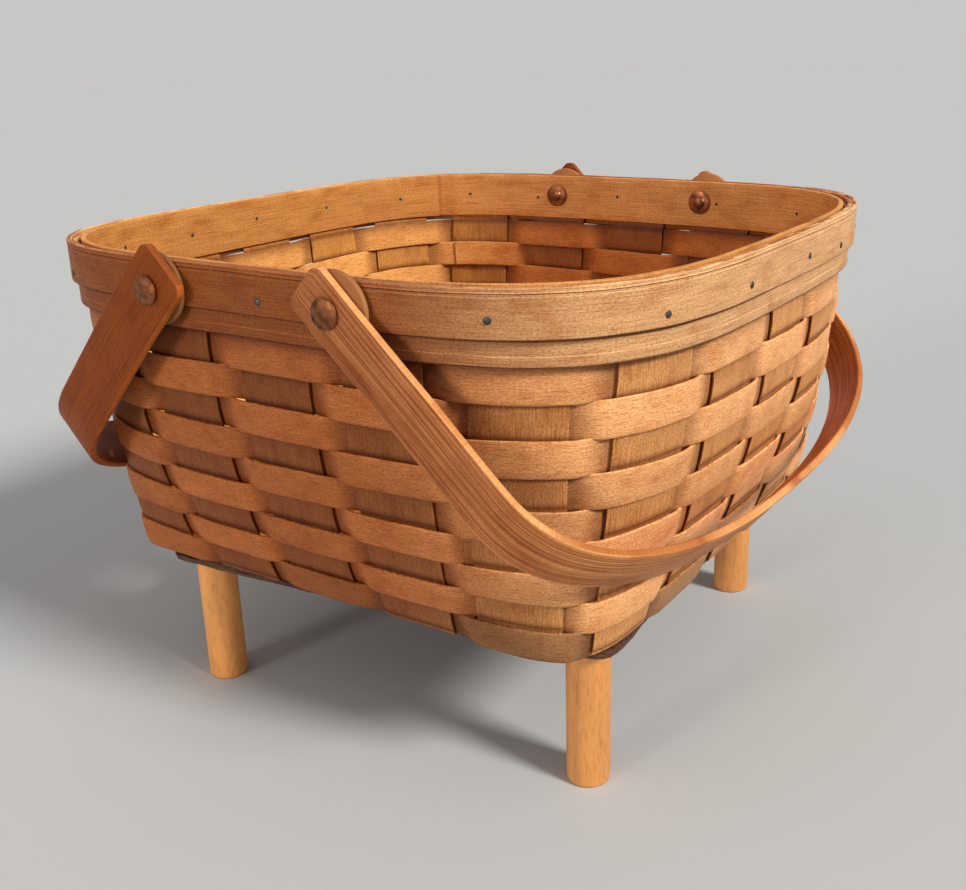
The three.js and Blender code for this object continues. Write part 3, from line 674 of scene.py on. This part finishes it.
def upright_strip(family, index):
    """A strip from the rim down one wall, across the floor and up the opposite wall."""
    name, face_share = (("front_to_back_strip", 0.0), ("side_to_side_strip", 0.25))[family]
    wall_steps, fold_steps, floor_steps = 100, 6, 80
    edge, ripple_depth = 0.28 * mm, 0.28 * mm
    half = splint_thickness / 2
    columns = np.linspace(-0.5, 0.5, 9) * strip_width
    across = np.concatenate([
        columns[:1], columns[:1] + edge, columns[1:-1], columns[-1:] - edge, columns[-1:]])
    front = np.concatenate([[half - edge], np.full(len(across) - 2, half), [half - edge]])
    ring_x = np.concatenate([across, across[::-1]])
    ring_offset = np.concatenate([front, -front[::-1]])
    rings, creases = [], []

    def loop_share(rise, is_far):
        away = strip_middle(family, index, rise) + ring_x / loop_length(rise)
        return face_share + 0.5 - away if is_far else face_share + away

    def ripple(rise, is_far):
        """The strip gives way a little to each row that passes over it."""
        order = index if not is_far else strips_per_side - 1 - index
        upright = (family + 2 * is_far) * strips_per_side + order
        row = (1 - rise) * row_count - 0.5
        return -ripple_depth * math.cos(math.pi * row) * (1 if upright % 2 == 0 else -1)

    def wall_ring(rise, is_far):
        """A ring on the wall, with painted shade where the edges of two rows meet and under the
        band.
        """
        edge_reach, band_from, band_reach = 0.13, 0.97, 0.03
        off_row = (1 - rise) * row_count % 1.0
        near_edge = math.exp(-((min(off_row, 1 - off_row) / edge_reach) ** 2))
        under_band = 0.85 * (rise - band_from) / band_reach
        creases.append((len(rings), max(0.75 * near_edge + 0.3 * (1 - off_row), under_band)))
        offset = ring_offset + ripple(rise, is_far)
        rings.append(wall_point(loop_share(rise, is_far), np.full_like(ring_x, rise), offset))

    def rim_ring(height, is_far):
        flat, _ = rim_outline.sample(loop_share(1.0, is_far), ring_offset)
        rings.append(np.column_stack([flat, np.full(len(ring_x), height)]))

    def fold_ring(angle, is_far):
        point, outward = floor_outline.sample(loop_share(0.0, is_far))
        radius = fold_radius + ring_offset
        flat = point + outward * (radius * math.cos(angle) - fold_radius)[:, None]
        rings.append(np.column_stack([flat, wall_base - radius * math.sin(angle)]))

    rim_heights = (rim_top - 2 * mm, rim_bottom + 3 * mm)
    rises = np.linspace(1, 0, wall_steps)
    angles = np.linspace(0, math.pi / 2, fold_steps)[1:]
    for make_ring, places in ((rim_ring, rim_heights), (wall_ring, rises), (fold_ring, angles)):
        for place in places:
            make_ring(place, False)

    # Across the floor, over and under the strips of the other family
    half_run, half_crossing = 124 * mm, 15 * mm
    near, _ = floor_outline.sample(loop_share(0.0, False))
    far, _ = floor_outline.sample(loop_share(0.0, True))
    span = np.linalg.norm(far - near, axis=1)
    crossings = np.sort(crossing_places(1 - family) * (1 if family == 0 else -1))
    signs = [1 if (index + k) % 2 == 1 - family else -1 for k in range(strips_per_side)]
    knots = np.concatenate([
        [-half_run], *[[p - half_crossing, p + half_crossing] for p in crossings], [half_run]])
    lifts = np.concatenate([[0], *[[s, s] for s in signs], [0]]) * floor_lift
    for along in np.linspace(-half_run, half_run, floor_steps):
        share = (along + span / 2) / span
        flat = near + (far - near) * share[:, None]
        lift = np.interp(along, knots, lifts)
        rings.append(np.column_stack([flat, floor_middle + lift - ring_offset]))

    for make_ring, places in ((fold_ring, angles), (wall_ring, rises), (rim_ring, rim_heights)):
        for place in places[::-1]:
            make_ring(place, True)

    points = np.array(rings)
    count, around = points.shape[:2]
    faces = []
    for first in range(0, (count - 1) * around, around):
        faces += bridge(range(first, first + around), range(first + around, first + 2 * around))
    for first, way in ((0, -1), ((count - 1) * around, 1)):
        last = first + around - 1
        for j in range(around // 2 - 1):
            faces.append((first + j, first + j + 1, last - 1 - j, last - j)[::way])
    mesh = bpy.data.meshes.new(f"{name}_{index + 1}")
    mesh.from_pydata(points.reshape(-1, 3).tolist(), [], faces)
    mesh.validate()
    volume = sum(f.center.dot(f.normal) * f.area for f in mesh.polygons)
    if volume < 0:
        mesh.flip_normals()

    steps = np.linalg.norm(np.diff(points.mean(axis=1), axis=0), axis=1)
    along = np.concatenate([[0], np.cumsum(steps)])[:, None]
    grain_shift = 0.211 * index + 0.05 * face_share
    grain = np.stack(np.broadcast_arrays(along, ring_x[None, :] + grain_shift), axis=-1)
    corners = np.zeros(len(mesh.loops), int)
    mesh.loops.foreach_get("vertex_index", corners)
    uv = mesh.uv_layers.new(name="UVMap")
    uv.data.foreach_set("uv", grain.reshape(-1, 2)[corners].astype(np.float32).ravel())
    across_share = np.broadcast_to(ring_x / (strip_width / 2), (count, around))
    attribute(mesh, "across_share", across_share.ravel())
    crease = np.zeros((count, around))
    for ring, depth in creases:
        crease[ring] = depth
    # Painted shade on the strip's side faces, the dark gaps beside it
    crease[:, [0, len(across) - 1, len(across), -1]] = 0.95
    attribute(mesh, "crease", crease.ravel())
    mesh.materials.append(upright_wood)
    mesh.shade_smooth()
    mesh.set_sharp_from_angle(angle=math.radians(50))
    piece = new_object(f"{name}_splint_{index + 1}", mesh)
    dress(piece, draw.uniform(0.88, 1.08), woven=True)
    hand_over(piece, "basket", "upright_splint", f"{name}_{index + 1}")


for family in (0, 1):
    for index in range(strips_per_side):
        upright_strip(family, index)


# Rim bands

def rim_band(name, node_name, wood, thickness, offset, low, high, start, lap, tone, radius,
             unevenness):
    """A band round the rim whose end laps over its start."""
    steps, step_up, lap_lift, wave = 420, 0.012, 0.92, 0.25 * mm
    travelled = np.linspace(0, 1 + lap, steps)
    share = start + travelled
    lift = thickness * lap_lift * np.clip((travelled - 1 + step_up) / step_up, 0, 1)
    flat, outward = rim_outline.sample(share, offset + lift)
    middle = (low + high) / 2 + wave * np.sin(tau * 3 * share + offset * 900)
    facing = np.column_stack([outward, np.zeros(len(share))])
    piece = new_object(name, path_mesh(name, np.column_stack([flat, middle]), facing))
    use_tree(piece, bent_splint, Width=high - low, Thickness=thickness, Edge_radius=radius,
             Cup=0.0, Unevenness=unevenness, Grain_shift=tone, Facets_across=5, Material=wood)
    settle(piece)
    dress(piece, tone, woven=True)
    hand_over(piece, "basket", "rim_band", node_name)


rim_band("rim_inside_band", "inner_rim_band", inner_band_wood, thickness=2.2 * mm,
         offset=-2.0 * mm, low=rim_top - 25.2 * mm, high=rim_top - 0.2 * mm, start=0.62, lap=0.03,
         tone=1.0, radius=0.35 * mm, unevenness=0.5 * mm)
rim_band("rim_lower_band", "lower_rim_band", lower_band_wood, thickness=2.0 * mm,
         offset=1.9 * mm, low=rim_bottom, high=rim_top - 0.6 * mm, start=0.41, lap=0.0,
         tone=0.93, radius=0.3 * mm, unevenness=0.6 * mm)
rim_band("rim_outside_band", "outer_rim_band", band_wood, thickness=2.2 * mm, offset=4.2 * mm,
         low=rim_top - 18 * mm, high=rim_top - 0.2 * mm, start=0.365, lap=0.035, tone=0.97,
         radius=0.3 * mm, unevenness=0.5 * mm)


# Handles

def handle(name, side, width, reach, drop, sway, arm, squareness, wood):
    """A steamed strip: two arms that lean by the sway, an arch, and tails with round corners."""
    arch_steps, arm_steps, tail_steps, tail_power = 121, 30, 7, 1.3
    middle = arm_inner + handle_thickness / 2
    top = reach - handle_thickness / 2
    lean_from = spacer_radius + handle_thickness
    angle = np.linspace(0, math.pi, arch_steps)
    cosine, power = np.cos(angle), 2 / squareness
    arch_x = arm + (top - arm) * abs(np.sin(angle)) ** power
    arch_y = -middle * np.sign(cosine) * abs(cosine) ** power
    rounding = tail_corner * (1 - np.cos(np.linspace(0, tau / 4, tail_steps)))
    tail = -handle_tail + 0.4 * mm + rounding
    straight = np.concatenate([tail, np.linspace(tail[-1], arm, arm_steps)[1:-1]])
    x = np.concatenate([straight, arch_x, straight[::-1]])
    y = np.concatenate([np.full(len(straight), -middle), arch_y, np.full(len(straight), middle)])
    y = y + sway * np.clip((x - lean_from) / (top - lean_from), 0, 1)
    cut_in = np.clip((tail[-1] - x) / tail_corner, 0, 1)
    narrow = tail_corner * (1 - (1 - cut_in**tail_power) ** (1 / tail_power))

    turn = drop if side > 0 else math.pi - drop
    out = np.array([math.cos(turn), 0, -math.sin(turn)])
    along_pivot = np.array([0.0, 1.0, 0.0])
    pivot = np.array([side * pivot_spacing / 2, 0, pivot_height])
    points = pivot + x[:, None] * out + y[:, None] * along_pivot
    tangent = np.gradient(np.column_stack([x, y]), axis=0)
    facing = tangent[:, 1:2] * out - tangent[:, 0:1] * along_pivot
    facing *= -1 if (facing[len(x) // 2] @ out) < 0 else 1
    sideways = unit_rows(np.cross(facing, np.gradient(points, axis=0)))
    piece = new_object(name, path_mesh(name, points, facing, narrow, sideways))
    use_tree(piece, bent_splint, Width=width - 0.3 * mm, Thickness=handle_thickness - 0.5 * mm,
             Edge_radius=0.7 * mm, Cup=0.0, Unevenness=0.4 * mm, Grain_shift=0.31 * side,
             Facets_across=2, Material=wood)
    bevel = piece.modifiers.new("worn_ends", "BEVEL")
    bevel.width = 0.7 * mm
    bevel.segments = 2
    bevel.limit_method = "ANGLE"
    bevel.angle_limit = math.radians(60)
    settle(piece)
    dress(piece, 1.0)
    body = "left_handle" if side < 0 else "right_handle"
    hand_over(piece, body, body, body)


handle("left_bent_handle", side=-1, width=27 * mm, reach=155.86 * mm, drop=math.radians(44.4),
       sway=8 * mm, arm=83 * mm, squareness=2.5, wood=left_handle_wood)
handle("right_bent_handle", side=1, width=21.5 * mm, reach=152.3 * mm, drop=math.radians(43),
       sway=0.0, arm=87 * mm, squareness=2.4, wood=right_handle_wood)


# Round pieces

def turned(name, profile, steps):
    """Hidden helper shape: a solid of revolution about Z, from radii and heights in mm."""
    rings = [(r * mm, h * mm) for r, h in profile if r > 0]
    angle = np.arange(steps) * tau / steps
    points = [(r * math.cos(a), r * math.sin(a), h) for r, h in rings for a in angle]
    low, high = len(points), len(points) + 1
    points += [(0, 0, profile[0][1] * mm), (0, 0, profile[-1][1] * mm)]
    faces = []
    last = (len(rings) - 1) * steps
    for first in range(0, last, steps):
        faces += bridge(range(first, first + steps), range(first + steps, first + 2 * steps))
    for j in range(steps):
        k = (j + 1) % steps
        faces += [(low, k, j), (high, last + j, last + k)]
    mesh = bpy.data.meshes.new(name)
    mesh.from_pydata(points, [], faces)
    made = new_object(name, mesh)
    made.hide_render = True
    return made


def set_pieces(name, material, slot, nodes, places, facings, profile, steps, spins=0.0,
               tones=(1.0,)):
    """One turned shape set at several places, as one mesh."""
    shape = turned(f"{name}_shape", profile, steps)
    mesh = bpy.data.meshes.new(name)
    mesh.from_pydata(np.asarray(places).tolist(), [], [])
    attribute(mesh, "facing", facings, "FLOAT_VECTOR")
    attribute(mesh, "spin", np.broadcast_to(spins, len(places)))
    piece = new_object(name, mesh)
    use_tree(piece, set_on_points, Shape=shape, Material=material)
    settle(piece)
    dress(piece, np.repeat(tones, len(piece.data.vertices) // len(tones)))
    bpy.data.objects.remove(shape)
    hand_over(piece, "basket", slot, *nodes)


def on_stand(x, y, height):
    """A place under the floor, where the board and the legs are turned."""
    c, s = math.cos(stand_turn), math.sin(stand_turn)
    return (x * c - y * s, x * s + y * c, height)


leg_nodes = ["leg_front_left", "leg_front_right", "leg_back_right", "leg_back_left"]
leg_places = [on_stand(x * leg_spacing / 2, y * leg_spacing / 2, 0) for x, y in square_corners]
# Painted light: the front left leg is 1.3 times brighter, as if lit where the basket shades it
set_pieces("turned_legs", leg_wood, "leg_dowel", leg_nodes, leg_places, [(0, 0, 1)] * 4, [
    (0, 0), (7.9, 0), (8.6, 0.15), (9.1, 0.5), (9.4, 1.1), (9.5, 2), (9.5, 24), (9.5, 46),
    (9.5, 67), (0, 67)], steps=40, tones=(1.3, 0.93, 0.95, 1.0))

pivots = {f"{end}_{face}": (side, way) for end, side in (("left", -1), ("right", 1))
          for face, way in (("front", -1), ("back", 1))}


def set_at_pivots(name, material, slot, node_name, distance, profile, steps, **more):
    """One turned shape at each of the four pivots, looking outwards along Y."""
    places = [(s * pivot_spacing / 2, e * distance, pivot_height) for s, e in pivots.values()]
    set_pieces(name, material, slot, [f"{node_name}_{pivot}" for pivot in pivots], places,
               [(0, e, 0) for _, e in pivots.values()], profile, steps, **more)


metal_spins = [0.3, 1.7, 2.9, 4.1]
set_at_pivots("copper_rivets", antique_copper, "rivet_metal", "rivet", 166.27 * mm, [
    (0, -19.1), (2.6, -19.1), (3.2, -18.6), (3.4, -17.9), (2.4, -17.9), (2.4, 0.2), (5.8, 0.2),
    (6.0, 0.45), (5.85, 0.75), (5.4, 0.95), (4.9, 1.0), (4.2, 1.25), (3.2, 1.5), (2.0, 1.7),
    (1.0, 1.78), (0, 1.8)], steps=40, spins=metal_spins)
set_at_pivots("copper_washers", antique_copper, "rivet_metal", "washer", 148.37 * mm, [
    (0, 0), (5.9, 0), (6.3, 0.15), (6.4, 0.5), (6.3, 0.85), (5.8, 1.0), (0, 1.0)],
    steps=36, spins=metal_spins)
# Painted shade and light: the left front spacer is darkened to 0.6, the back ones brightened to
# 1.25 and 1.35
set_at_pivots("wooden_spacers", spacer_wood, "spacer", "spacer", 159.47 * mm, [
    (0, 0), (14.5, 0), (14.9, 0.3), (15, 0.7), (15, 1.6), (14.8, 2.0), (14.4, 2.2), (0, 2.2)],
    steps=48, tones=(0.6, 1.25, 1.0, 1.35))

# Tacks through the rim, by their places along each side in millimetres
tack_places = [[-115, 7, 104], [-104.5, -52, 10, 54, 104], [-112, -58, 6, 61, 108],
               [-114, -55, 2, 49, 96]]
tack_height, tack_stagger = 212 * mm, 1.2 * mm
tacks = np.array([
    (side / 4 + place * mm / rim_outline.length, tack_height + (k % 3 - 1) * tack_stagger)
    for side, places in enumerate(tack_places) for k, place in enumerate(places)])


def set_in_rim(name, offset, lift, way, profile, steps):
    """One end of every tack, where way is 1 for the heads outside and -1 for the tips inside."""
    share, height = tacks.T
    flat, outward = rim_outline.sample(share, np.full(len(tacks), offset))
    set_pieces(name, dull_steel, "screw", [], np.column_stack([flat, height + lift]),
               np.column_stack([way * outward, 0 * height]), profile, steps)


set_in_rim("rim_tacks", 5.2 * mm, 0.0, 1, [
    (0, -1.5), (0.8, -1.5), (0.8, 0.1), (1.35, 0.12), (1.45, 0.25), (1.2, 0.5), (0.7, 0.65),
    (0, 0.7)], steps=16)
set_in_rim("clenched_tips", -3.0 * mm, 0.4 * mm, -1, [
    (0, -1.5), (0.9, -1.5), (0.95, 0.15), (0.7, 0.35), (0, 0.45)], steps=12)


# Base board

def base_board():
    """Four rough plies, each with its own torn outline."""
    plies, count, squareness = 4, 360, 26
    tear, set_back = 0.28 * mm, 0.5 * mm
    angle = np.linspace(0, tau, count, endpoint=False)
    powers = abs(np.cos(angle)) ** squareness + abs(np.sin(angle)) ** squareness
    square = board_side / 2 * powers ** (-1 / squareness)
    points, faces = [], []
    for ply in range(plies):
        rough = draw.normal(0, tear, count)
        rough = (rough + np.roll(rough, 1) + np.roll(rough, 2) + np.roll(rough, -1)) / 2
        reach = square - set_back + rough - draw.uniform(0, set_back)
        low = board_bottom + board_thickness * ply / plies
        high = low + board_thickness / plies * (1.02 if ply < plies - 1 else 1.0)
        base = len(points)
        for height in (low, high):
            points += [
                on_stand(r * math.cos(a), r * math.sin(a), height) for r, a in zip(reach, angle)]
        lower, upper = range(base, base + count), range(base + count, base + 2 * count)
        faces += [*bridge(lower, upper), tuple(reversed(lower)), tuple(upper)]
    mesh = bpy.data.meshes.new("plywood_base")
    mesh.from_pydata(points, [], faces)
    mesh.materials.append(plywood)
    hand_over(new_object("plywood_base", mesh), "basket", "board", "base_board")


base_board()

# The leg screws stay as the model has them, in steel
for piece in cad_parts.values():
    if not piece.hide_render:
        piece.data.materials.clear()
        piece.data.materials.append(dull_steel)


# Floor, light and camera

def pale_floor():
    """Matte paper: no gloss, so that only the basket's soft shadow shows on it."""
    mesh = bpy.data.meshes.new("pale_floor")
    reach = 12.0
    mesh.from_pydata([(x * reach, y * reach, 0) for x, y in square_corners], [], [(0, 1, 2, 3)])
    material, tree, surface = new_material("matte_paper_floor")
    shader = node(tree, "ShaderNodeBsdfPrincipled", {
        "Base Color": linear("#cfcfcc"), "Roughness": 0.9, "Specular IOR Level": 0.1})[0]
    tree.links.new(shader, surface)
    mesh.materials.append(material)
    floor = new_object("pale_floor", mesh)


def studio_world():
    """A weak even light, which itself shows as a pale backdrop."""
    world = bpy.data.worlds.new("soft_studio")
    world.use_nodes = True
    tree = world.node_tree
    tree.nodes.clear()
    rays = node(tree, "ShaderNodeLightPath")
    plain, seen = [
        node(tree, "ShaderNodeBackground", {"Color": linear(colour), "Strength": strength})[0]
        for colour, strength in (("#fdfbff", 0.16), ("#c8c7c5", 1.0))
    ]
    shown = rays["Is Camera Ray"]
    for ray in ("Is Glossy Ray", "Is Transmission Ray"):
        shown = node(tree, "ShaderNodeMath", {0: shown, 1: rays[ray]}, operation="MAXIMUM")[0]
    mixed = node(tree, "ShaderNodeMixShader", {0: shown, 1: plain, 2: seen})[0]
    node(tree, "ShaderNodeOutputWorld", {"Surface": mixed})
    bpy.context.scene.world = world


def aim(made, *columns):
    """Sets a lamp or the camera by its three axes and its place."""
    made.matrix_world = Matrix([*np.column_stack(columns).tolist(), [0, 0, 0, 1]])


def lamp(name, direction, strength, angle):
    """A soft sun whose light comes from that direction."""
    distance = 3.0
    data = bpy.data.lights.new(name, "SUN")
    data.energy = strength
    data.angle = math.radians(angle)
    towards = unit_rows(np.array(direction))
    side = unit_rows(np.cross(up, towards))
    aim(new_object(name, data), side, np.cross(towards, side), towards, towards * distance)


def photo_camera():
    """The camera that was solved from the photo's rim corners, feet and pivots."""
    image_width, image_height = 966, 890
    focal_length, centre_x, centre_y = 1127.43, 487.4, 444.1
    sensor_width = 36
    azimuth, elevation, roll = np.radians([34.78, 19.31, -1.86])
    flat = math.cos(elevation)
    back = np.array([math.sin(azimuth) * flat, -math.cos(azimuth) * flat, math.sin(elevation)])
    level = np.array([math.cos(azimuth), math.sin(azimuth), 0])
    over = np.cross(back, level)
    right = math.cos(roll) * level + math.sin(roll) * over
    top = math.cos(roll) * over - math.sin(roll) * level
    place = level * -0.68 * mm + up * 105.57 * mm + back * 583.99 * mm
    data = bpy.data.cameras.new("camera")
    data.sensor_width = sensor_width
    data.lens = focal_length / image_width * sensor_width
    data.shift_x = -(centre_x - image_width / 2) / image_width
    data.shift_y = (centre_y - image_height / 2) / image_width
    data.clip_start = 0.01
    camera = new_object("camera", data)
    aim(camera, right, top, back, place)
    bpy.context.scene.camera = camera


pale_floor()
studio_world()
lamp("key_lamp", (0.85, -0.05, 0.6), 2.8, 14)
lamp("fill_lamp", (-0.2, -0.92, 0.19), 0.92, 14)
lamp("top_lamp", (-0.1, -0.35, 0.95), 0.6, 100)
photo_camera()
bpy.context.scene.view_settings.view_transform = "Standard"
